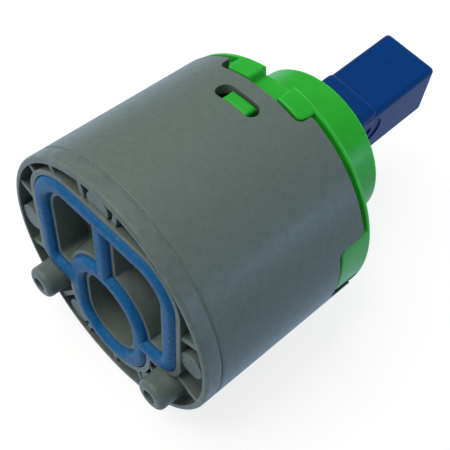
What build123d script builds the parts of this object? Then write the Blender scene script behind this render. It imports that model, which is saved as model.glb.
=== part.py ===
from build123d import *
import os
from math import cos, radians, sin

# Single-lever mixer cartridge, 40 mm type, in millimetres.
# The cartridge lies on its side: +X runs along its axis from the base face to the lever,
# +Z goes up through the upper snap window, and the origin is the middle of the base face.
# Angles round the axis are counted from +Z towards -Y.

# Clearances between pieces
running_gap = 0.1
slide_gap = 0.2
seat_gap = 0.1
seal_gap = 0.05
pin_gap = 0.05

# Housing shell
body_r = 20.0
shell_wall = 1.6
shell_top = 29.3
rim_notch_half_width = 7.5
rim_notch_depth = 2.45
rim_notch_corner = 1.2
rim_notch_mouth = 0.5
side_notch_half_width = 5.2
side_notch_depth = 5.0
side_notch_corner = 1.0
side_notch_mouth = 1.6
window_length = 7.2
window_height = 2.7
window_depth = 6.15
edge_break = 0.15
edge_round = 0.2
seam_round = 0.3

# Base plate
rim_height = 2.6
rim_wall = 0.9
rim_round = 0.5
seam_gap = 0.1
base_top = 8.0
pocket_depth = 2.0
rib_thickness = 0.8
rib_recess = 0.3
rib_angles = (10.6, 30.5, 50.5, 71.0, 111.0, 140.5, 160.5)
pad_r = 2.0
pad_places = ((0.0, 2.2), (-92.0, 2.1), (87.0, 2.4), (-151.0, 2.0), (151.0, 2.0))
cup_height = 4.0
cup_lug_width = 3.0
cup_lug_depth = 1.2
peg_spacing = 24.6
peg_drop = 9.1
peg_r = 2.5
peg_root_r = 2.7
peg_root_height = 0.9
peg_length = 3.2
peg_round = 0.8
peg_hole_r = 1.15
peg_hole_depth = 1.4
least_corner = 0.8

# Three-loop base seal and the walls that hold it
seal_half_width = 14.2
seal_high = 15.1
seal_low = -6.6
seal_high_left_corner = 8.2
seal_high_right_corner = 6.3
seal_low_left_corner = 2.6
seal_low_right_corner = 4.6
seal_cord = 2.7
outlet_r = 8.0
outlet_stretch = 3.8
outlet_drop = 6.0
seal_groove = 1.6
seal_stand = 0.5
seal_crest_round = 1.0
port_wall = 0.8
lip_wall = 0.6
lip_recess = 0.5
funnel_depth = 4.6
funnel_narrowing = 0.6

# Passages to the fixed disc, with their ring seals
inlet_spacing = 12.8
inlet_rise = 7.4
inlet_r = 3.2
outlet_passage_r = 4.4
outlet_passage_drop = 6.0
ring_seal_width = 1.5
ring_seal_height = 1.5
ring_seal_stand = 0.3
ring_seal_land = 0.4

# Base O-ring
base_ring_r = 0.7
base_ring_place = 5.8

# Ceramic discs
fixed_disc_r = 15.5
fixed_disc_height = 4.0
moving_disc_r = 12.8
moving_disc_height = 4.0
kidney_r = 7.8
kidney_width = 3.8
kidney_start = 28.0
kidney_sweep = 30.0
chamber_r = 4.6
chamber_stretch = 6.5
chamber_drop = 2.2
disc_edge_break = 0.3

# Noise screen in the chamber
screen_thickness = 0.6
screen_recess = 0.5
screen_hole_r = 0.45
screen_pitch = 1.6

# Carrier
carrier_wall = 2.2
carrier_side_wall = 1.1
carrier_height = 4.0
carrier_grip = 2.6
carrier_seal_width = 1.5
carrier_seal_height = 1.1
carrier_seal_land = 0.8
socket_floor = 0.7
ball_depth = 0.7

# Rotor
slide_plate_thickness = 0.7
rotor_flange_height = 4.0
rail_drop = 4.6
rail_clearance = 0.5
neck_r = 10.5
neck_recess = 0.8
neck_slot_half_length = 7.8
flange_slot_half_length = 6.0
flange_slot_drop = 3.0
neck_ring_r = 0.55
neck_ring_height = 2.9
pin_r = 1.6
pin_inset = 0.3
pivot_height = 7.9

# Thrust ring
thrust_thickness = 1.0
thrust_bore_gap = 0.3

# Top cover
collar_wall = 1.7
collar_bore_gap = 0.3
collar_height = 10.1
collar_round = 0.35
cover_groove_depth = 1.3
cover_groove_height = 0.9
flange_inset = 0.25
flange_height = 0.7
flange_round = 0.35
collar_root_round = 0.8
tab_seat_gap = 0.7
tab_corner = 1.0
nose_round = 0.5
block_angles = (-20.3, -7.2)
tab_angles = (8.4, 21.6)
under_block_angles = (-20.3, -7.2)
under_tab_angles = (7.2, 20.3)
side_tab_angle = 13.6
side_tab_shift = -0.9
hook_angles = (-5.4, 7.6)
under_hook_half_angle = 6.0
hook_slot_inset = 0.1
hook_wall = 1.4
hook_nose_inset = 0.2
hook_nose_height = 2.2
hook_nose_gap = 0.2

# Lever
stem_width = 10.0
stem_corner = 0.8
stem_length = 29.2
stem_end_round = 0.8
shoulder_step = 1.05
shoulder_side_inset = 0.1
shoulder_corner = 1.2
shoulder_length = 15.6
shoulder_round = 0.8
hub_r = 5.2
hub_side_inset = 0.2
mark_r = 2.8
mark_place = 14.4
mark_rise = 1.2
mark_depth = 0.2
mark_centre_r = 0.9
arm_r = 2.0
arm_root_r = 4.0
tip_r = 1.3
ball_r = 2.4
ball_flat = 1.7

# Pose of the lever at rest, and its tilt from the axis at either stop
rest_turn = 7.0
rest_tilt = 5.5
stop_tilt = 12.5

# Sizes that follow from the ones above
shell_bore_r = body_r - shell_wall
shell_start = rim_height + seam_gap
window_middle = shell_top - window_depth
spigot_r = shell_bore_r - seat_gap
pocket_r = body_r - rim_wall
fixed_disc_start = base_top + ring_seal_stand
moving_disc_start = fixed_disc_start + fixed_disc_height
carrier_start = moving_disc_start + moving_disc_height
carrier_top = carrier_start + carrier_height
carrier_r = moving_disc_r + carrier_wall
carrier_flat = moving_disc_r + carrier_side_wall
slide_plate_start = carrier_top + running_gap
rotor_start = slide_plate_start + slide_plate_thickness
rotor_flange_top = rotor_start + rotor_flange_height
rail_inner = carrier_flat + slide_gap
rail_r = shell_bore_r - rail_clearance
slot_half_width = stem_width / 2 + slide_gap
pivot = rotor_flange_top + pivot_height
arm_length = pivot - carrier_top + ball_depth
thrust_start = rotor_flange_top + running_gap
cover_start = thrust_start + thrust_thickness
cover_groove_r = body_r - cover_groove_depth
cover_groove_top = shell_top + cover_groove_height
flange_r = body_r - flange_inset
flange_top = cover_groove_top + flange_height
collar_bore_r = neck_r + collar_bore_gap
collar_r = collar_bore_r + collar_wall
collar_top = flange_top + collar_height
neck_top = collar_top - neck_recess
neck_ring_place = rotor_flange_top + neck_ring_height
hook_slot_r = spigot_r - hook_slot_inset
hook_nose_r = body_r - hook_nose_inset
rotor_flange_r = hook_slot_r - hook_wall - slide_gap

# Directions of the turned rotor and the tilted lever
turn = radians(rest_turn)
tilt = radians(rest_tilt)
rotor_side = Vector(0, cos(turn), sin(turn))
rotor_up = Vector(0, -sin(turn), cos(turn))
lever_along = Vector(1, 0, 0) * cos(tilt) + rotor_up * sin(tilt)
pivot_point = Vector(pivot, 0, 0)

# The ball lies in the carrier's socket, so the carrier's place follows the lever's tilt
carrier_shift = -arm_length * sin(tilt)


def section(level):
    """Cross-section plane of the housing: its own x is +Y and its own y is +Z."""
    return Plane(origin=(level, 0, 0), x_dir=(0, 1, 0), z_dir=(1, 0, 0))


def rotor_section(level, shift=0.0):
    """Cross-section plane of the turned rotor, moved along the slide's direction."""
    return Plane(origin=Vector(level, 0, 0) + rotor_up * shift, x_dir=rotor_side, z_dir=(1, 0, 0))


def lever_section(distance):
    """Plane square to the lever at a distance from its pin."""
    return Plane(origin=pivot_point + lever_along * distance, x_dir=rotor_side, z_dir=lever_along)


def lever_side_plane(distance):
    """Plane along the lever, square to its pin, with its normal towards -Y."""
    centre = pivot_point + lever_along * distance
    return Plane(origin=centre, x_dir=lever_along, z_dir=rotor_side * -1)


def ring_sector(inner, outer, first, last):
    """Piece of a ring between two radii and two angles counted from +Z towards -Y."""
    with BuildSketch() as face:
        with BuildLine():
            outer_arc = CenterArc((0, 0), outer, 90 + first, last - first)
            inner_arc = CenterArc((0, 0), inner, 90 + first, last - first)
            Line(outer_arc @ 0, inner_arc @ 0)
            Line(outer_arc @ 1, inner_arc @ 1)
        make_face()
    return face.sketch


def box_outline(inset):
    """Round-cornered outline of the two inlet loops, moved inwards by inset."""
    half_width = seal_half_width - inset
    high = seal_high - inset
    low = seal_low + inset
    corners = (
        (half_width, high, seal_high_left_corner),
        (-half_width, high, seal_high_right_corner),
        (half_width, low, seal_low_left_corner),
        (-half_width, low, seal_low_right_corner),
    )
    with BuildSketch() as face:
        with Locations((0, (high + low) / 2)):
            Rectangle(2 * half_width, high - low)
        for y, z, radius in corners:
            corner = face.vertices().sort_by_distance((y, z))[0]
            fillet(corner, max(radius - inset, least_corner))
    return face.sketch


def outlet_outline(inset):
    """Upright rounded outline of the outlet loop, moved inwards by inset."""
    with BuildSketch() as face:
        with Locations((0, -outlet_drop)):
            radius = outlet_r - inset
            SlotCenterToCenter(outlet_stretch, 2 * radius, rotation=90)
    return face.sketch


def inlet_outline(side, inset):
    """Opening of one inlet loop, between box, divider and outlet loop, moved inwards by inset."""
    with BuildSketch() as face:
        add(box_outline(seal_cord + inset))
        add(outlet_outline(-inset), mode=Mode.SUBTRACT)
        kept_from = seal_cord / 2 + inset
        with Locations((side * (kept_from + body_r / 2), 0)):
            Rectangle(body_r, 2 * body_r, mode=Mode.INTERSECT)
    return face.sketch


def polar_point(radius, angle):
    """Point of a cross-section at an angle from +Z towards -Y."""
    return (-radius * sin(radians(angle)), radius * cos(radians(angle)))


def notch_outline(depth, half_width, corner, mouth):
    """Notch in the shell's far rim, with rounded corners at its floor and at its mouth."""
    with BuildSketch() as face:
        with Locations((shell_top, 0)):
            Rectangle(2 * depth, 2 * half_width)
            with Locations((depth / 2, 0)):
                Rectangle(depth, 4 * half_width)
        fillet(face.vertices().group_by(Axis.X)[0], corner)
        fillet(face.vertices().sort_by_distance((shell_top, half_width))[0], mouth)
        fillet(face.vertices().sort_by_distance((shell_top, -half_width))[0], mouth)
    return face.sketch


# Housing shell: plain tube with notches in its far rim and windows for the snap hooks
with BuildPart() as housing_shell:
    with BuildSketch(section(shell_start)):
        Circle(body_r)
        Circle(shell_bore_r, mode=Mode.SUBTRACT)
    extrude(amount=shell_top - shell_start)
    fillet(housing_shell.edges().group_by(Axis.X)[0].sort_by(SortBy.RADIUS)[-1], seam_round)
    fillet(housing_shell.edges().group_by(Axis.X)[-1].sort_by(SortBy.RADIUS)[-1], edge_round)
    with BuildSketch(Plane.XY):
        add(notch_outline(rim_notch_depth, rim_notch_half_width, rim_notch_corner, rim_notch_mouth))
    extrude(amount=body_r + shell_wall, both=True, mode=Mode.SUBTRACT)
    with BuildSketch(Plane.XZ):
        add(notch_outline(side_notch_depth, side_notch_half_width, side_notch_corner, side_notch_mouth))
    extrude(amount=body_r + shell_wall, both=True, mode=Mode.SUBTRACT)
    with BuildSketch(Plane.XY):
        with Locations((window_middle, 0)):
            SlotOverall(window_length, window_height, rotation=90)
    extrude(amount=body_r + shell_wall, both=True, mode=Mode.SUBTRACT)


# Base plate: rim, ribbed pocket, port walls, lips, pegs and the cup for the fixed disc
with BuildPart() as base_plate:
    with BuildSketch(section(0)):
        Circle(body_r)
    extrude(amount=rim_height)
    fillet(base_plate.edges().group_by(Axis.X)[0], rim_round)
    fillet(base_plate.edges().group_by(Axis.X)[-1], seam_round)
    with BuildSketch(section(rim_height)):
        Circle(spigot_r)
    extrude(amount=base_top + cup_height - rim_height)
    # Pocket round the ports, with the two pegs on its floor, then its ribs and pads
    with BuildSketch(section(0)):
        Circle(pocket_r)
    extrude(amount=pocket_depth, mode=Mode.SUBTRACT)
    with BuildSketch(section(-peg_length)):
        with Locations((peg_spacing / 2, -peg_drop), (-peg_spacing / 2, -peg_drop)):
            Circle(peg_r)
    extrude(amount=peg_length + pocket_depth)
    with BuildSketch(section(rib_recess)):
        for angle in rib_angles:
            for side in (1, -1):
                with Locations(polar_point(pocket_r / 2, side * angle)):
                    Rectangle(rib_thickness, pocket_r + rim_wall / 2, rotation=side * angle)
        with Locations(polar_point(pocket_r / 2, 180)):
            Rectangle(rib_thickness, pocket_r + rim_wall / 2)
        for angle, inset in pad_places:
            with Locations(polar_point(pocket_r - inset, angle)):
                Circle(pad_r)
    extrude(amount=pocket_depth - rib_recess)
    # Wall round the three ports, the groove for the seal and the lips inside its loops
    with BuildSketch(section(0)):
        add(box_outline(-port_wall))
        add(outlet_outline(-port_wall))
    extrude(amount=pocket_depth)
    with BuildSketch(section(0)):
        add(box_outline(0))
        add(outlet_outline(0))
    extrude(amount=seal_groove, mode=Mode.SUBTRACT)
    with BuildSketch(section(lip_recess)):
        for side in (1, -1):
            add(inlet_outline(side, 0))
        add(outlet_outline(seal_cord))
    extrude(amount=seal_groove - lip_recess)
    # Round tips, conical roots and blind holes of the pegs
    fillet(base_plate.edges().group_by(Axis.X)[0], peg_round)
    for y in (peg_spacing / 2, -peg_spacing / 2):
        for level, radius in ((-peg_root_height, peg_r), (pocket_depth, peg_root_r)):
            with BuildSketch(section(level)):
                with Locations((y, -peg_drop)):
                    Circle(radius)
        loft()
    with BuildSketch(section(-peg_length)):
        with Locations((peg_spacing / 2, -peg_drop), (-peg_spacing / 2, -peg_drop)):
            Circle(peg_hole_r)
    extrude(amount=peg_hole_depth, mode=Mode.SUBTRACT)
    # Inlet funnels, the outlet mouth and the round passages to the disc
    for side in (1, -1):
        with BuildSketch(section(lip_recess)):
            add(inlet_outline(side, lip_wall))
        with BuildSketch(section(lip_recess + funnel_depth)):
            add(inlet_outline(side, lip_wall + funnel_narrowing))
        loft(mode=Mode.SUBTRACT)
    with BuildSketch(section(lip_recess)):
        add(outlet_outline(seal_cord + lip_wall))
    extrude(amount=funnel_depth, mode=Mode.SUBTRACT)
    with BuildSketch(section(lip_recess + funnel_depth)):
        with Locations((inlet_spacing / 2, inlet_rise), (-inlet_spacing / 2, inlet_rise)):
            Circle(inlet_r)
        with Locations((0, -outlet_passage_drop)):
            Circle(outlet_passage_r)
    extrude(amount=base_top, mode=Mode.SUBTRACT)
    # Cup that holds the fixed disc, with two lugs, and the grooves of the ring seals
    with BuildSketch(section(base_top)):
        Circle(fixed_disc_r + slide_gap)
        with Locations((fixed_disc_r, 0), (-fixed_disc_r, 0)):
            lug_reach = 2 * (cup_lug_depth - slide_gap)
            Rectangle(lug_reach, cup_lug_width - 2 * slide_gap, mode=Mode.SUBTRACT)
    extrude(amount=cup_height, mode=Mode.SUBTRACT)
    with BuildSketch(section(base_top)):
        with Locations((inlet_spacing / 2, inlet_rise), (-inlet_spacing / 2, inlet_rise)):
            Circle(inlet_r + ring_seal_land + ring_seal_width)
            Circle(inlet_r + ring_seal_land, mode=Mode.SUBTRACT)
        with Locations((0, -outlet_passage_drop)):
            Circle(outlet_passage_r + ring_seal_land + ring_seal_width)
            Circle(outlet_passage_r + ring_seal_land, mode=Mode.SUBTRACT)
    extrude(amount=-(ring_seal_height - ring_seal_stand), mode=Mode.SUBTRACT)
    # Groove of the ring that seals the spigot
    with BuildSketch(section(base_ring_place - base_ring_r - seal_gap)):
        Circle(spigot_r + seat_gap)
        Circle(shell_bore_r - 2 * base_ring_r - 2 * seal_gap, mode=Mode.SUBTRACT)
    extrude(amount=2 * (base_ring_r + seal_gap), mode=Mode.SUBTRACT)


# Base seal: three loops in one moulding, with rounded crests
with BuildPart() as base_seal:
    with BuildSketch(section(-seal_stand)):
        add(box_outline(seal_gap))
        add(outlet_outline(seal_gap))
        for side in (1, -1):
            add(inlet_outline(side, -seal_gap), mode=Mode.SUBTRACT)
        add(outlet_outline(seal_cord - seal_gap), mode=Mode.SUBTRACT)
    extrude(amount=seal_stand + seal_groove)
    fillet(base_seal.edges().group_by(Axis.X)[0], seal_crest_round)


def ring_seal(place, bore):
    """Square-section ring seal on the base's disc side, at a place round a passage."""
    with BuildPart() as ring:
        with BuildSketch(section(fixed_disc_start - ring_seal_height)):
            with Locations(place):
                Circle(bore + ring_seal_land + ring_seal_width - seal_gap)
                Circle(bore + ring_seal_land + seal_gap, mode=Mode.SUBTRACT)
        extrude(amount=ring_seal_height)
    return ring


inlet_seal_left = ring_seal((inlet_spacing / 2, inlet_rise), inlet_r)
inlet_seal_right = ring_seal((-inlet_spacing / 2, inlet_rise), inlet_r)
outlet_seal = ring_seal((0, -outlet_passage_drop), outlet_passage_r)


# Ring that seals the spigot in the shell
with BuildPart() as base_o_ring:
    with BuildSketch(Plane.XY):
        with Locations((base_ring_place, shell_bore_r - base_ring_r - seal_gap)):
            Circle(base_ring_r)
    revolve(axis=Axis.X)


# Fixed ceramic disc: two kidney inlets, the round outlet and two notches for the base's lugs
with BuildPart() as fixed_disc:
    with BuildSketch(section(fixed_disc_start)):
        Circle(fixed_disc_r)
        with Locations((fixed_disc_r, 0), (-fixed_disc_r, 0)):
            Rectangle(2 * cup_lug_depth, cup_lug_width, mode=Mode.SUBTRACT)
        with Locations((0, -outlet_passage_drop)):
            Circle(outlet_passage_r - ring_seal_land, mode=Mode.SUBTRACT)
    extrude(amount=fixed_disc_height)
    with BuildSketch(section(fixed_disc_start)):
        SlotArc(CenterArc((0, 0), kidney_r, kidney_start, kidney_sweep), kidney_width)
        SlotArc(
            CenterArc((0, 0), kidney_r, 180 - kidney_start - kidney_sweep, kidney_sweep),
            kidney_width,
        )
    extrude(amount=fixed_disc_height, mode=Mode.SUBTRACT)


def chamber_outline(inset):
    """Outline of the mixing chamber in the moving disc, moved inwards by inset."""
    with BuildSketch() as face:
        with Locations((0, -chamber_drop)):
            SlotCenterToCenter(chamber_stretch, 2 * (chamber_r - inset), rotation=90)
    return face.sketch


# Moving ceramic disc with the mixing chamber through it
with BuildPart() as moving_disc:
    with BuildSketch(rotor_section(moving_disc_start, carrier_shift)):
        Circle(moving_disc_r)
    extrude(amount=moving_disc_height)
    chamfer(moving_disc.edges().group_by(Axis.X)[-1], disc_edge_break)
    with BuildSketch(rotor_section(moving_disc_start, carrier_shift)):
        add(chamber_outline(0))
    extrude(amount=moving_disc_height, mode=Mode.SUBTRACT)


# Noise screen: perforated plate near the closed end of the chamber
screen_start = carrier_start - screen_recess - screen_thickness
with BuildPart() as noise_screen:
    with BuildSketch(rotor_section(screen_start, carrier_shift)):
        add(chamber_outline(seal_gap))
        with Locations((0, -chamber_drop)):
            with GridLocations(screen_pitch, screen_pitch, 4, 7):
                Circle(screen_hole_r, mode=Mode.SUBTRACT)
    extrude(amount=screen_thickness)


# Ring that closes the chamber between the moving disc and the carrier
with BuildPart() as carrier_seal:
    with BuildSketch(rotor_section(carrier_start, carrier_shift)):
        add(chamber_outline(-carrier_seal_land - carrier_seal_width + seal_gap))
        add(chamber_outline(-carrier_seal_land - seal_gap), mode=Mode.SUBTRACT)
    extrude(amount=carrier_seal_height)


# Carrier: grips the moving disc, slides between the rotor's rails and takes the lever's ball
with BuildPart() as disc_carrier:
    with BuildSketch(rotor_section(carrier_start - carrier_grip, carrier_shift)):
        Circle(carrier_r)
        Rectangle(2 * carrier_flat, 2 * carrier_r, mode=Mode.INTERSECT)
    extrude(amount=carrier_grip + carrier_height)
    with BuildSketch(rotor_section(carrier_start - carrier_grip, carrier_shift)):
        Circle(moving_disc_r + seat_gap)
    extrude(amount=carrier_grip, mode=Mode.SUBTRACT)
    with BuildSketch(rotor_section(carrier_start, carrier_shift)):
        add(chamber_outline(-carrier_seal_land - carrier_seal_width))
        add(chamber_outline(-carrier_seal_land), mode=Mode.SUBTRACT)
    extrude(amount=carrier_seal_height, mode=Mode.SUBTRACT)
    with BuildSketch(rotor_section(carrier_start + socket_floor, carrier_shift)):
        Circle(ball_r + running_gap)
    extrude(amount=carrier_height - socket_floor, mode=Mode.SUBTRACT)


# Sliding plate on the rotor's underside, with the slot for the lever's ball
with BuildPart() as slide_plate:
    with BuildSketch(rotor_section(slide_plate_start)):
        Circle(carrier_flat)
        ball_travel = arm_length * sin(radians(stop_tilt))
        SlotCenterToCenter(2 * ball_travel, 2 * (ball_r + slide_gap), rotation=90, mode=Mode.SUBTRACT)
    extrude(amount=slide_plate_thickness)


# Rotor: flange with two rails below and a slotted neck above, cross-drilled for the pin
with BuildPart() as rotor_guide:
    with BuildSketch(rotor_section(rotor_start)):
        Circle(rotor_flange_r)
    extrude(amount=rotor_flange_height)
    with BuildSketch(rotor_section(rotor_start - rail_drop)):
        Circle(rail_r)
        Rectangle(2 * rail_inner, 2 * rail_r, mode=Mode.SUBTRACT)
    extrude(amount=rail_drop)
    with BuildSketch(rotor_section(rotor_flange_top)):
        Circle(neck_r)
    extrude(amount=neck_top - rotor_flange_top)
    chamfer(rotor_guide.edges().group_by(Axis.X)[-1], 2 * edge_break)
    with BuildSketch(rotor_section(rotor_start)):
        Rectangle(2 * slot_half_width, 2 * flange_slot_half_length)
    extrude(amount=neck_top - rotor_start, mode=Mode.SUBTRACT)
    with BuildSketch(rotor_section(pivot - flange_slot_drop)):
        Rectangle(2 * slot_half_width, 2 * neck_slot_half_length)
    extrude(amount=neck_top - pivot + flange_slot_drop, mode=Mode.SUBTRACT)
    with BuildSketch(Plane(origin=pivot_point, x_dir=(1, 0, 0), z_dir=rotor_side)):
        Circle(pin_r + pin_gap)
    extrude(amount=neck_r, both=True, mode=Mode.SUBTRACT)
    with BuildSketch(rotor_section(neck_ring_place - neck_ring_r - seal_gap)):
        Circle(neck_r + collar_bore_gap)
        Circle(collar_bore_r - running_gap - 2 * neck_ring_r - seal_gap, mode=Mode.SUBTRACT)
    extrude(amount=2 * (neck_ring_r + seal_gap), mode=Mode.SUBTRACT)


# Ring on the neck that steadies the turn
with BuildPart() as neck_o_ring:
    with BuildSketch(Plane.XY):
        with Locations((neck_ring_place, collar_bore_r - running_gap - neck_ring_r)):
            Circle(neck_ring_r)
    revolve(axis=Axis.X)


# Thrust ring between the rotor's flange and the cover
with BuildPart() as thrust_ring:
    with BuildSketch(section(thrust_start)):
        Circle(rotor_flange_r)
        Circle(neck_r + thrust_bore_gap, mode=Mode.SUBTRACT)
    extrude(amount=thrust_thickness)


# Cross pin of the lever
with BuildPart() as lever_pin:
    with BuildSketch(Plane(origin=pivot_point, x_dir=(1, 0, 0), z_dir=rotor_side)):
        Circle(pin_r)
    extrude(amount=neck_r - pin_inset, both=True)
    chamfer(lever_pin.edges().filter_by(GeomType.CIRCLE), edge_break)


def tab(inner, outer, angles, levels, rounded_ends, edge):
    """Tab between two radii, two angles and two levels, with its outer edges rounded by edge.

    Its lower corners are rounded at the angles named in rounded_ends.
    """
    with BuildPart() as block:
        with BuildSketch(section(levels[0])):
            add(ring_sector(inner, outer, *angles))
        extrude(amount=levels[1] - levels[0])
        radial = block.edges().filter_by(GeomType.LINE).filter_by(Axis.X, reverse=True)
        for angle in rounded_ends:
            corner = Vertex(levels[0], *polar_point(outer, angle))
            fillet(radial.sort_by_distance(corner)[0], tab_corner)
        outside = block.faces().filter_by(GeomType.CYLINDER).sort_by(SortBy.AREA)[-1]
        fillet(outside.edges(), edge)
    return block.part


# Tabs that lie in the rim notches, the side tabs and the noses of the snap hooks
tab_start = shell_top - rim_notch_depth + tab_seat_gap
tab_root_r = cover_groove_r - hook_wall
tab_levels = (tab_start, flange_top)
under_block = [180 + angle for angle in under_block_angles]
under_tab = [180 + angle for angle in under_tab_angles]
side_levels = (shell_top - side_notch_depth + tab_seat_gap, flange_top)
left_side_tab = [90 + side_tab_shift - side_tab_angle, 90 + side_tab_shift + side_tab_angle]
right_side_tab = [-angle for angle in reversed(left_side_tab)]
nose_start = window_middle - window_height / 2 + hook_nose_gap
nose_levels = (nose_start, nose_start + hook_nose_height)
under_hook_angles = (180 - under_hook_half_angle, 180 + under_hook_half_angle)
hook_root_r = hook_slot_r - hook_wall
cover_tabs = [
    tab(tab_root_r, flange_r, block_angles, tab_levels, block_angles[:1], flange_round),
    tab(tab_root_r, flange_r, tab_angles, tab_levels, tab_angles[1:], flange_round),
    tab(tab_root_r, flange_r, under_block, tab_levels, under_block[:1], flange_round),
    tab(tab_root_r, flange_r, under_tab, tab_levels, under_tab[1:], flange_round),
    tab(cover_groove_r, flange_r, left_side_tab, side_levels, left_side_tab, flange_round),
    tab(cover_groove_r, flange_r, right_side_tab, side_levels, right_side_tab, flange_round),
]
hook_noses = [
    tab(hook_root_r, hook_nose_r, hook_angles, nose_levels, (), nose_round),
    tab(hook_root_r, hook_nose_r, under_hook_angles, nose_levels, (), nose_round),
]


# Top cover: plug, groove, flange and collar, with the tabs and the snap hooks
with BuildPart() as top_cover:
    with BuildSketch(Plane.XY):
        with BuildLine():
            Polyline(
                (cover_start, collar_bore_r),
                (cover_start, spigot_r),
                (shell_top, spigot_r),
                (shell_top, cover_groove_r),
                (cover_groove_top, cover_groove_r),
                (cover_groove_top, flange_r),
                (flange_top, flange_r),
                (flange_top, collar_r),
                (collar_top, collar_r),
                (collar_top, collar_bore_r),
                close=True,
            )
        make_face()
    revolve(axis=Axis.X)
    circles = top_cover.edges().filter_by(GeomType.CIRCLE)
    fillet([e for e in circles if abs(e.center().X - collar_top) < seat_gap], collar_round)
    at_flange_top = [e for e in circles if abs(e.center().X - flange_top) < seat_gap]
    fillet([e for e in at_flange_top if e.radius > collar_r + flange_round], flange_round)
    fillet([e for e in at_flange_top if e.radius < collar_r + flange_round], collar_root_round)
    add(cover_tabs)
    # Open slots above the hooks, then the hooks that reach down to the windows
    with BuildSketch(section(cover_start)):
        add(ring_sector(hook_slot_r, body_r, block_angles[1], tab_angles[0]))
        add(ring_sector(hook_slot_r, body_r, under_block[1], under_tab[0]))
    extrude(amount=flange_top - cover_start + seat_gap, mode=Mode.SUBTRACT)
    with BuildSketch(section(nose_start)):
        for first, last in (hook_angles, under_hook_angles):
            add(ring_sector(hook_root_r, hook_slot_r, first, last))
    extrude(amount=cover_start - nose_start)
    add(hook_noses)


# Lever: square stem, wider shoulder, round hub on the pin and the arm down to the ball
with BuildPart() as lever:
    with BuildSketch(lever_section(0)):
        RectangleRounded(
            stem_width - 2 * shoulder_side_inset,
            stem_width + 2 * shoulder_step,
            shoulder_corner,
        )
    extrude(amount=shoulder_length)
    fillet(lever.faces().sort_by(Axis(pivot_point, lever_along))[-1].edges(), shoulder_round)
    with BuildSketch(lever_section(0)):
        RectangleRounded(stem_width, stem_width, stem_corner)
    extrude(amount=stem_length)
    fillet(lever.faces().sort_by(Axis(pivot_point, lever_along))[-1].edges(), stem_end_round)
    with BuildSketch(Plane(origin=pivot_point, x_dir=(1, 0, 0), z_dir=rotor_side)):
        Circle(hub_r)
    extrude(amount=stem_width / 2 - hub_side_inset, both=True)
    with BuildSketch(lever_section(0)):
        Circle(arm_root_r)
    with BuildSketch(lever_section(-stem_width)):
        Circle(arm_r)
    loft()
    with BuildSketch(lever_section(-arm_length + ball_flat + seat_gap)):
        Circle(arm_r)
    extrude(amount=arm_length - ball_flat - hub_r)
    with BuildSketch(lever_section(-arm_length)):
        Circle(tip_r)
    extrude(amount=arm_length)
    with BuildSketch(Plane(origin=pivot_point, x_dir=(1, 0, 0), z_dir=rotor_side)):
        Circle(pin_r + pin_gap)
    extrude(amount=stem_width, both=True, mode=Mode.SUBTRACT)
    # Round moulding mark sunk into the side
    for radius, depth in ((mark_r, mark_depth), (mark_centre_r, 2 * mark_depth)):
        with BuildSketch(lever_side_plane(mark_place).offset(stem_width / 2 - depth)):
            with Locations((0, mark_rise)):
                Circle(radius)
        extrude(amount=depth, mode=Mode.SUBTRACT)


# Ball on the lever's tip
with BuildPart() as ball_cap:
    with Locations(lever_section(-arm_length)):
        Sphere(ball_r)
    with BuildSketch(lever_section(-arm_length)):
        Circle(tip_r + seal_gap)
    extrude(amount=2 * ball_r, mode=Mode.SUBTRACT)
    with BuildSketch(lever_section(-arm_length + ball_flat)):
        Circle(ball_r)
    extrude(amount=ball_r, mode=Mode.SUBTRACT)


pieces = {
    "housing_shell": housing_shell,
    "base_plate": base_plate,
    "base_seal": base_seal,
    "inlet_seal_left": inlet_seal_left,
    "inlet_seal_right": inlet_seal_right,
    "outlet_seal": outlet_seal,
    "base_o_ring": base_o_ring,
    "fixed_disc": fixed_disc,
    "moving_disc": moving_disc,
    "noise_screen": noise_screen,
    "carrier_seal": carrier_seal,
    "disc_carrier": disc_carrier,
    "slide_plate": slide_plate,
    "rotor_guide": rotor_guide,
    "neck_o_ring": neck_o_ring,
    "thrust_ring": thrust_ring,
    "lever_pin": lever_pin,
    "top_cover": top_cover,
    "lever": lever,
    "ball_cap": ball_cap,
}
os.makedirs("parts", exist_ok=True)
for name, piece in pieces.items():
    piece.part.label = name
    export_step(piece.part, f"parts/{name}.step")
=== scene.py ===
import bpy
import numpy as np
from mathutils import Matrix, Vector


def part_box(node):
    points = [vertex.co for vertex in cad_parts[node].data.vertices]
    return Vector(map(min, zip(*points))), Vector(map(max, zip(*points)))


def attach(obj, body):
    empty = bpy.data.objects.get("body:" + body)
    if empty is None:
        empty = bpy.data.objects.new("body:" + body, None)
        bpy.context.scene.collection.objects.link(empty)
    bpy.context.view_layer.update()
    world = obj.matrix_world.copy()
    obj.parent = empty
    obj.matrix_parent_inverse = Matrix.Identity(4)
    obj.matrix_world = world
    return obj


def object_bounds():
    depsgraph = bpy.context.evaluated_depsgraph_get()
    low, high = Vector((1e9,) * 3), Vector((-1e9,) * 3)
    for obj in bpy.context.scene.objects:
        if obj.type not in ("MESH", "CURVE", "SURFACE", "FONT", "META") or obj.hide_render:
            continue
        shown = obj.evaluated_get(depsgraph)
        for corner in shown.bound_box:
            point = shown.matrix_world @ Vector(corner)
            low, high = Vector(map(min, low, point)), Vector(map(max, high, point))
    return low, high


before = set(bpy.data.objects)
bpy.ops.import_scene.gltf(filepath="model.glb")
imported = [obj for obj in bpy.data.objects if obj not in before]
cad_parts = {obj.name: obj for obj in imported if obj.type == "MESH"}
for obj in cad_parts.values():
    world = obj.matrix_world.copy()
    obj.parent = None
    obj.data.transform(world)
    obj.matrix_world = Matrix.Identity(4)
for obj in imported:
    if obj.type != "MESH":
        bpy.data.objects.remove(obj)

cad_low, cad_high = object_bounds()


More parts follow.
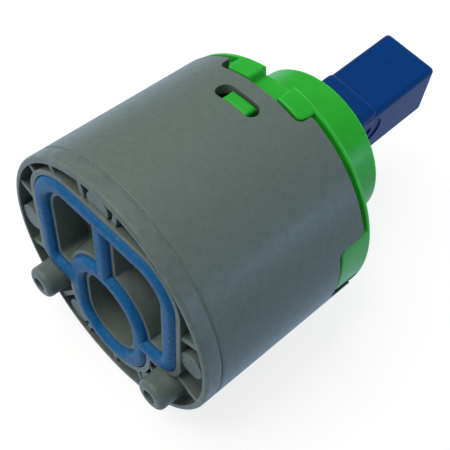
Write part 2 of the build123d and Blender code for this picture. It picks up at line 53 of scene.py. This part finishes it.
# Camera: the cartridge lies on its side and is seen from above, from the side of its ports,
# with a long lens. The place and the directions are those that fit the photograph's circles.
photo_width_px = 450
focal_length_px = 859.8
camera_place = Vector((-0.0360, -0.0558, 0.0951))
camera_forward = Vector((0.4537, 0.4342, -0.7782)).normalized()
camera_right_hint = Vector((0.7247, -0.6879, 0.0387))
nearest_seen = 0.01
farthest_seen = 10.0

camera_right = (camera_right_hint - camera_forward * camera_right_hint.dot(camera_forward)).normalized()
camera_up = camera_right.cross(camera_forward)
camera_data = bpy.data.cameras.new("camera")
camera_data.lens = camera_data.sensor_width * focal_length_px / photo_width_px
camera_data.clip_start = nearest_seen
camera_data.clip_end = farthest_seen
camera = bpy.data.objects.new("camera", camera_data)
camera.matrix_world = Matrix.Translation(camera_place) @ Matrix((
    (camera_right.x, camera_up.x, -camera_forward.x, 0.0),
    (camera_right.y, camera_up.y, -camera_forward.y, 0.0),
    (camera_right.z, camera_up.z, -camera_forward.z, 0.0),
    (0.0, 0.0, 0.0, 1.0),
))
bpy.context.scene.collection.objects.link(camera)
bpy.context.scene.camera = camera


# Base plate: one grey moulding of glass-filled nylon, with ribs, port walls, lips and two pegs.
# The fibres near its skin make it slightly mottled and satin. Its edges are rubbed shiny and
# painted pale, partly as wear and partly as a painted highlight, and fine dust lies on it.
millimetre = 0.001
grain_strength = 0.5
# Edge rubbing comes in patches: it makes edges shiny, and paints them pale, partly as wear and partly as a
# painted highlight
most_edge_wear_and_highlight = 0.6
least_rub = 0.35
rub_patch_mm = 3.0
speck_mm = 0.35
speck_tint = "#b4b8b0"
# Levels of a noise between which its pattern goes from none to full
mottle_change = (0.36, 0.64)
mottle_shine_change = (0.3, 0.7)
rub_patch_change = (0.35, 0.6)
speck_change = (0.62, 0.76)
# Dot products of the true and the averaged normal, on a face and at a sharp edge
edge_alignment = (0.99, 0.80)


def linear(hex_colour):
    """Linear RGBA of an sRGB colour written as #rrggbb, by the sRGB transfer curve."""
    shares = [int(hex_colour[i:i + 2], 16) / 255 for i in (1, 3, 5)]
    values = [s / 12.92 if s <= 0.04045 else ((s + 0.055) / 1.055) ** 2.4 for s in shares]
    return (*values, 1.0)


def add_node(tree, kind, settings=(), links=()):
    """Adds a node; settings are its properties or unlinked inputs, links are (input, socket)."""
    node = tree.nodes.new(kind)
    for name, value in dict(settings).items():
        if isinstance(name, int) or name in node.inputs:
            node.inputs[name].default_value = value
        else:
            setattr(node, name, value)
    for name, socket in dict(links).items():
        tree.links.new(socket, node.inputs[name])
    return node


def mottled_finish(name, tints, mottle_mm, roughness, grain_mm, grain_depth_mm, edge_wear_and_highlight_tint, edge_mm,
                   specular=0.5, dust=0.0, rubbed_roughness=0.35):
    """Finish of a moulded or pressed piece. A noise mottles it with two tints and varies its
    roughness between two values, a finer noise is its grain, and the rarest peaks of a third are
    dust. An edge is where the normal, averaged over edge_mm, leaves the true one, as told by
    their dot product. In patches it is rubbed to rubbed_roughness and painted a paler edge
    tint, partly as wear and partly as a painted highlight. The real grain of a mould, about
    0.05 mm, is too fine to show, so it is drawn as coarse as it needs.
    """
    material = bpy.data.materials.new(name)
    material.use_nodes = True
    tree = material.node_tree
    shader = tree.nodes["Principled BSDF"]
    shader.inputs["Specular IOR Level"].default_value = specular
    place = add_node(tree, "ShaderNodeTexCoord").outputs["Object"]

    mottle = add_node(tree, "ShaderNodeTexNoise",
                      {"Scale": 1 / (mottle_mm * millimetre), "Detail": 5.0, "Roughness": 0.6},
                      {"Vector": place})
    mottle_share = add_node(tree, "ShaderNodeMapRange",
                            {"From Min": mottle_change[0], "From Max": mottle_change[1]},
                            {"Value": mottle.outputs["Fac"]})
    body_colour = add_node(tree, "ShaderNodeMix",
                           {"data_type": "RGBA", 6: linear(tints[0]), 7: linear(tints[1])},
                           {0: mottle_share.outputs["Result"]})
    body_roughness = add_node(tree, "ShaderNodeMapRange",
                              {"From Min": mottle_shine_change[0], "From Max": mottle_shine_change[1],
                               "To Min": roughness[0], "To Max": roughness[1]},
                              {"Value": mottle.outputs["Fac"]})

    grain = add_node(tree, "ShaderNodeTexNoise",
                     {"Scale": 1 / (grain_mm * millimetre), "Detail": 3.0}, {"Vector": place})
    soft_normal = add_node(tree, "ShaderNodeBevel", {"samples": 6, "Radius": edge_mm * millimetre})
    bump = add_node(tree, "ShaderNodeBump",
                    {"Strength": grain_strength, "Distance": grain_depth_mm * millimetre},
                    {"Height": grain.outputs["Fac"], "Normal": soft_normal.outputs["Normal"]})

    true_normal = add_node(tree, "ShaderNodeNewGeometry").outputs["Normal"]
    alignment = add_node(tree, "ShaderNodeVectorMath", {"operation": "DOT_PRODUCT"},
                         {0: true_normal, 1: soft_normal.outputs["Normal"]})
    edge_share = add_node(tree, "ShaderNodeMapRange",
                          {"From Min": edge_alignment[0], "From Max": edge_alignment[1],
                           "To Max": most_edge_wear_and_highlight},
                          {"Value": alignment.outputs["Value"]})
    rubbing = add_node(tree, "ShaderNodeTexNoise", {"Scale": 1 / (rub_patch_mm * millimetre)},
                       {"Vector": place})
    rub_share = add_node(tree, "ShaderNodeMapRange",
                         {"From Min": rub_patch_change[0], "From Max": rub_patch_change[1],
                          "To Min": least_rub, "To Max": 1.0},
                         {"Value": rubbing.outputs["Fac"]})
    # Rubbed share of each edge: it sets the edge's roughness and how much paler it is painted
    rubbed = add_node(tree, "ShaderNodeMath", {"operation": "MULTIPLY"},
                      {0: edge_share.outputs["Result"], 1: rub_share.outputs["Result"]})
    # Edges painted paler: partly rub wear, partly a painted highlight along the edge
    rubbed_and_highlit_colour = add_node(tree, "ShaderNodeMix", {"data_type": "RGBA", 7: linear(edge_wear_and_highlight_tint)},
                             {0: rubbed.outputs["Value"], 6: body_colour.outputs[2]})
    shine = add_node(tree, "ShaderNodeMix", {"data_type": "FLOAT", 3: rubbed_roughness},
                     {0: rubbed.outputs["Value"], 2: body_roughness.outputs["Result"]})

    specks = add_node(tree, "ShaderNodeTexNoise", {"Scale": 1 / (speck_mm * millimetre), "Detail": 2.0},
                      {"Vector": place})
    speck_share = add_node(tree, "ShaderNodeMapRange",
                           {"From Min": speck_change[0], "From Max": speck_change[1], "To Max": dust},
                           {"Value": specks.outputs["Fac"]})
    colour = add_node(tree, "ShaderNodeMix", {"data_type": "RGBA", 7: linear(speck_tint)},
                      {0: speck_share.outputs["Result"], 6: rubbed_and_highlit_colour.outputs[2]})

    tree.links.new(colour.outputs[2], shader.inputs["Base Color"])
    tree.links.new(shine.outputs[0], shader.inputs["Roughness"])
    tree.links.new(bump.outputs["Normal"], shader.inputs["Normal"])
    return material


def finish_node(node, material):
    """Gives a CAD node's object one material."""
    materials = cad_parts[node].data.materials
    materials.clear()
    materials.append(material)


base_nylon = mottled_finish(
    "glass_filled_nylon_base", tints=("#68746f", "#5e6a66"), mottle_mm=1.6, roughness=(0.36, 0.46),
    grain_mm=0.35, grain_depth_mm=0.012, edge_wear_and_highlight_tint="#9aa196", edge_mm=0.25, specular=0.35, dust=0.12,
    rubbed_roughness=0.14)
finish_node("base_plate", base_nylon)


# Base seal: blue silicone moulded in one piece, pressed into the groove round the ports.
# Silicone is satin and takes dust, so it looks slightly clouded on its crest.
# Its edges are painted a paler blue, partly as wear and partly as a painted highlight.
seal_silicone = mottled_finish(
    "moulded_silicone_blue", tints=("#16679e", "#125b92"), mottle_mm=0.9, roughness=(0.36, 0.46),
    grain_mm=0.3, grain_depth_mm=0.01, edge_wear_and_highlight_tint="#3a82b6", edge_mm=0.15, specular=0.12, dust=0.2)
finish_node("base_seal", seal_silicone)


# Ring seals and O-rings: black nitrile rubber, moulded and lightly greased.
# They are matt where dry and glint where the grease lies.
ring_rubber = mottled_finish(
    "moulded_nitrile_black", tints=("#1b1b1c", "#232425"), mottle_mm=1.0, roughness=(0.3, 0.6),
    grain_mm=0.2, grain_depth_mm=0.006, edge_wear_and_highlight_tint="#343536", edge_mm=0.1)
for node in ("inlet_seal_left", "inlet_seal_right", "outlet_seal", "base_o_ring", "carrier_seal",
             "neck_o_ring"):
    finish_node(node, ring_rubber)


# Discs: sintered alumina, ground and lapped flat, off-white and almost mirror-smooth.
# Its grain shows only as a faint cloudiness.
alumina = mottled_finish(
    "lapped_alumina", tints=("#efece4", "#e6e2d8"), mottle_mm=2.0, roughness=(0.12, 0.22),
    grain_mm=0.25, grain_depth_mm=0.002, edge_wear_and_highlight_tint="#f7f5f0", edge_mm=0.15)
for node in ("fixed_disc", "moving_disc"):
    finish_node(node, alumina)


# Acetal pieces inside: carrier, slide plate, thrust ring and the ball on the lever's tip.
# Natural acetal is milky white and slick, with hardly any grain.
acetal = mottled_finish(
    "natural_acetal", tints=("#e9e7df", "#dedcd3"), mottle_mm=2.5, roughness=(0.28, 0.38),
    grain_mm=0.3, grain_depth_mm=0.004, edge_wear_and_highlight_tint="#f4f2ec", edge_mm=0.15)
for node in ("disc_carrier", "slide_plate", "thrust_ring", "ball_cap"):
    finish_node(node, acetal)


# Rotor: dark grey glass-filled nylon, turned by the lever inside the collar.
# Its slot shows behind the lever, satin and slightly greased.
rotor_nylon = mottled_finish(
    "glass_filled_nylon_rotor", tints=("#3d4143", "#35393b"), mottle_mm=2.0, roughness=(0.35, 0.5),
    grain_mm=0.3, grain_depth_mm=0.01, edge_wear_and_highlight_tint="#55595b", edge_mm=0.15)
finish_node("rotor_guide", rotor_nylon)


# Lever pin and noise screen: stainless steel, the pin ground and the screen etched from sheet.
# Both leave it bare and satin, with fine spots that reflect more sharply than others.
steel_tint = "#b9b8b4"
steel_spot_mm = 0.15
steel_roughness = (0.22, 0.42)

stainless = bpy.data.materials.new("ground_stainless_steel")
stainless.use_nodes = True
steel_tree = stainless.node_tree
steel = steel_tree.nodes["Principled BSDF"]
steel.inputs["Metallic"].default_value = 1.0
steel.inputs["Base Color"].default_value = linear(steel_tint)
steel_place = add_node(steel_tree, "ShaderNodeTexCoord").outputs["Object"]
steel_spots = add_node(steel_tree, "ShaderNodeTexNoise",
                       {"Scale": 1 / (steel_spot_mm * millimetre), "Detail": 2.0}, {"Vector": steel_place})
steel_shine = add_node(steel_tree, "ShaderNodeMapRange",
                       {"To Min": steel_roughness[0], "To Max": steel_roughness[1]},
                       {"Value": steel_spots.outputs["Fac"]})
steel_tree.links.new(steel_shine.outputs["Result"], steel.inputs["Roughness"])
for node in ("lever_pin", "noise_screen"):
    finish_node(node, stainless)


# Housing shell: grey glass-filled nylon tube, moulded in a spark-eroded mould.
# Its skin is satin, with flow mottling about a millimetre wide.
# Its edges are painted a paler grey, partly as wear and partly as a painted highlight.
shell_nylon = mottled_finish(
    "glass_filled_nylon_shell", tints=("#68756f", "#626f69"), mottle_mm=0.9, roughness=(0.34, 0.40),
    grain_mm=0.35, grain_depth_mm=0.011, edge_wear_and_highlight_tint="#87918c", edge_mm=0.2, specular=0.22)
finish_node("housing_shell", shell_nylon)


# Seam: a thin matt bead in the groove between the base's rim and the shell, standing for dried grease and
# dust.
# Its paler tint is partly a painted highlight along the seam, and it fills the groove and hides its shade;
# it is uneven round the ring.
shell_low, shell_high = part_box("housing_shell")
seam_gap = 0.1 * millimetre
seam_depth = 0.27 * millimetre
seam_place = shell_low.x - seam_gap / 2
seam_r = shell_high.y - seam_depth
seam_half_width = 0.13 * millimetre
seam_half_height = 0.11 * millimetre
seam_swell = 0.2
seam_waves = ((7, 0.4), (19, 2.1), (43, 0.0))
seam_steps = 480
seam_section_steps = 12


def bead_round_axis(name, place, radius, half_width, half_height, swell, waves, steps, section_steps):
    """Closed ring about the X axis. At each turning angle its section is an ellipse, whose height
    is scaled by one plus a swell times the mean of some sines of the angle. Each wave gives one
    sine's number of periods round the ring and its phase.
    """
    turn = np.linspace(0, 2 * np.pi, steps, endpoint=False)[:, None]
    section = np.linspace(0, 2 * np.pi, section_steps, endpoint=False)[None, :]
    mean_wave = sum(np.sin(periods * turn + phase) for periods, phase in waves) / len(waves)
    height = half_height * (1 + swell * mean_wave)
    ring_radius = radius + height * np.sin(section)
    x = np.broadcast_to(place + half_width * np.cos(section), ring_radius.shape)
    points = np.stack([x, -ring_radius * np.sin(turn), ring_radius * np.cos(turn)], axis=-1)
    step = np.arange(steps)[:, None]
    spoke = np.arange(section_steps)[None, :]
    next_step = (step + 1) % steps
    next_spoke = (spoke + 1) % section_steps
    quads = np.stack([step * section_steps + spoke, step * section_steps + next_spoke,
                      next_step * section_steps + next_spoke, next_step * section_steps + spoke], axis=-1)
    mesh = bpy.data.meshes.new(name)
    mesh.from_pydata(points.reshape(-1, 3), [], quads.reshape(-1, 4).tolist())
    mesh.polygons.foreach_set("use_smooth", [True] * len(mesh.polygons))
    ring = bpy.data.objects.new(name, mesh)
    bpy.context.scene.collection.objects.link(ring)
    return ring


seam_bead = bead_round_axis("seam_bead", seam_place, seam_r, seam_half_width, seam_half_height,
                            seam_swell, seam_waves, seam_steps, seam_section_steps)
# Paler than the nylon: partly dust, partly a painted highlight along the seam
seam_dust_and_highlight = mottled_finish(
    "grease_dust_and_painted_highlight", tints=("#65706b", "#7a857f"), mottle_mm=0.8, roughness=(0.6, 0.8),
    grain_mm=0.2, grain_depth_mm=0.01, edge_wear_and_highlight_tint="#8b958f", edge_mm=0.05, specular=0.3)
seam_bead.data.materials.append(seam_dust_and_highlight)
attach(seam_bead, "root")


# Top cover: bright green acetal, moulded glossy, clipped into the shell by its two hooks.
# Light enters it a little way, green farthest, so that it glows at its thin edges.
cover_glow = 0.35
cover_glow_reach = (0.35, 1.0, 0.4)
cover_glow_mm = 2.5

# Its edges are painted a paler green, partly as wear and partly as a painted highlight.
cover_acetal = mottled_finish(
    "moulded_acetal_green", tints=("#2cb932", "#27b02e"), mottle_mm=4.0, roughness=(0.3, 0.38),
    grain_mm=0.5, grain_depth_mm=0.006, edge_wear_and_highlight_tint="#44bf48", edge_mm=0.25, specular=0.3,
    rubbed_roughness=0.5)
cover_shader = cover_acetal.node_tree.nodes["Principled BSDF"]
cover_shader.inputs["Subsurface Weight"].default_value = cover_glow
cover_shader.inputs["Subsurface Radius"].default_value = cover_glow_reach
cover_shader.inputs["Subsurface Scale"].default_value = cover_glow_mm * millimetre
finish_node("top_cover", cover_acetal)


# Lever: navy blue glass-filled nylon, one moulding from the square stem to the arm inside.
# Its faces are satin and carry the fine grain of the mould. Its edges stay dull, and are painted a little
# paler, partly as wear and partly as a painted highlight.
lever_nylon = mottled_finish(
    "glass_filled_nylon_navy", tints=("#003d80", "#003878"), mottle_mm=0.8, roughness=(0.36, 0.42),
    grain_mm=0.3, grain_depth_mm=0.012, edge_wear_and_highlight_tint="#06488f", edge_mm=0.3, specular=0.08,
    rubbed_roughness=0.7)
finish_node("lever", lever_nylon)


# Table: a matt white board that the cartridge lies on. The camera sees it near white, apart
# from the cartridge's shadow, and the plastics reflect it as a cool white.
table_side = 3.0
table_level = cad_low.z
table_grey = "#858585"
table_roughness = 0.8
table_glow = 0.80
table_sheen_glow = 0.95
table_sheen_tint = "#c4e0ff"

table_half = table_side / 2
table_mesh = bpy.data.meshes.new("table")
table_mesh.from_pydata(
    [(-table_half, -table_half, table_level), (table_half, -table_half, table_level),
     (table_half, table_half, table_level), (-table_half, table_half, table_level)], [], [(0, 1, 2, 3)])
table = bpy.data.objects.new("table", table_mesh)
bpy.context.scene.collection.objects.link(table)

table_paint = bpy.data.materials.new("matt_white_table")
table_paint.use_nodes = True
table_tree = table_paint.node_tree
table_shader = table_tree.nodes["Principled BSDF"]
table_shader.inputs["Base Color"].default_value = linear(table_grey)
table_shader.inputs["Roughness"].default_value = table_roughness
table_rays = add_node(table_tree, "ShaderNodeLightPath")
table_sheen = add_node(table_tree, "ShaderNodeMath", {"operation": "MULTIPLY", 1: table_sheen_glow},
                       {0: table_rays.outputs["Is Glossy Ray"]})
table_light = add_node(table_tree, "ShaderNodeMath", {"operation": "MULTIPLY_ADD", 1: table_glow},
                       {0: table_rays.outputs["Is Camera Ray"], 2: table_sheen.outputs["Value"]})
table_tint = add_node(table_tree, "ShaderNodeMix",
                      {"data_type": "RGBA", 6: linear("#ffffff"), 7: linear(table_sheen_tint)},
                      {0: table_rays.outputs["Is Glossy Ray"]})
table_tree.links.new(table_tint.outputs[2], table_shader.inputs["Emission Color"])
table_tree.links.new(table_light.outputs["Value"], table_shader.inputs["Emission Strength"])
table_mesh.materials.append(table_paint)


# Lamps: a soft key light above, and beside it a small lamp for the glints on the rubbed edges.
# Weaker lamps fill the lever's side, the far side and the lever's end. The window is a soft
# panel near the base face, so that its light falls off along the shell.
window_side = 0.12
window_power = 0.07
window_place = Vector((-0.12, 0.07, 0.13))


def add_sun(name, towards_light, irradiance, angle, hex_colour):
    """Soft far lamp: a disc of the given angle in the direction towards_light."""
    lamp = bpy.data.lights.new(name, "SUN")
    lamp.energy = irradiance
    lamp.angle = angle
    lamp.color = linear(hex_colour)[:3]
    holder = bpy.data.objects.new(name, lamp)
    holder.rotation_mode = "QUATERNION"
    holder.rotation_quaternion = Vector(towards_light).to_track_quat("Z", "Y")
    bpy.context.scene.collection.objects.link(holder)


add_sun("key_light", (-0.14, 0.22, 0.94), irradiance=1.42, angle=0.9, hex_colour="#fffcf4")
add_sun("ceiling_lamp", (-0.3, 0.0, 0.95), irradiance=0.33, angle=0.18, hex_colour="#fff4e0")
add_sun("side_fill", (0.5, -0.86, 0.12), irradiance=0.48, angle=0.14, hex_colour="#acd0ff")
add_sun("back_fill", (-0.3, 0.92, 0.15), irradiance=0.5, angle=0.9, hex_colour="#f0f5ff")
add_sun("end_fill", (1.0, 0.1, 0.08), irradiance=0.7, angle=0.8, hex_colour="#fbfcff")

window = bpy.data.lights.new("window", "AREA")
window.shape = "SQUARE"
window.size = window_side
window.energy = window_power
window.color = linear("#fff6e8")[:3]
window_holder = bpy.data.objects.new("window", window)
window_holder.location = window_place
window_holder.rotation_mode = "QUATERNION"
window_holder.rotation_quaternion = window_place.to_track_quat("Z", "Y")
bpy.context.scene.collection.objects.link(window_holder)


# Room: plain walls that light the cartridge evenly and a little cool.
# The camera itself sees them white.
room_brightness = 0.31
room_tint = "#e6eefb"

room = bpy.data.worlds.new("bright_room")
room.use_nodes = True
room_tree = room.node_tree
room_shader = room_tree.nodes["Background"]
room_ray = add_node(room_tree, "ShaderNodeLightPath").outputs["Is Camera Ray"]
room_light = add_node(room_tree, "ShaderNodeMapRange", {"To Min": room_brightness, "To Max": 1.0},
                      {"Value": room_ray})
room_colour = add_node(room_tree, "ShaderNodeMix",
                       {"data_type": "RGBA", 6: linear(room_tint), 7: linear("#ffffff")}, {0: room_ray})
room_tree.links.new(room_colour.outputs[2], room_shader.inputs["Color"])
room_tree.links.new(room_light.outputs["Result"], room_shader.inputs["Strength"])
bpy.context.scene.world = room
bpy.context.scene.view_settings.view_transform = "Standard"
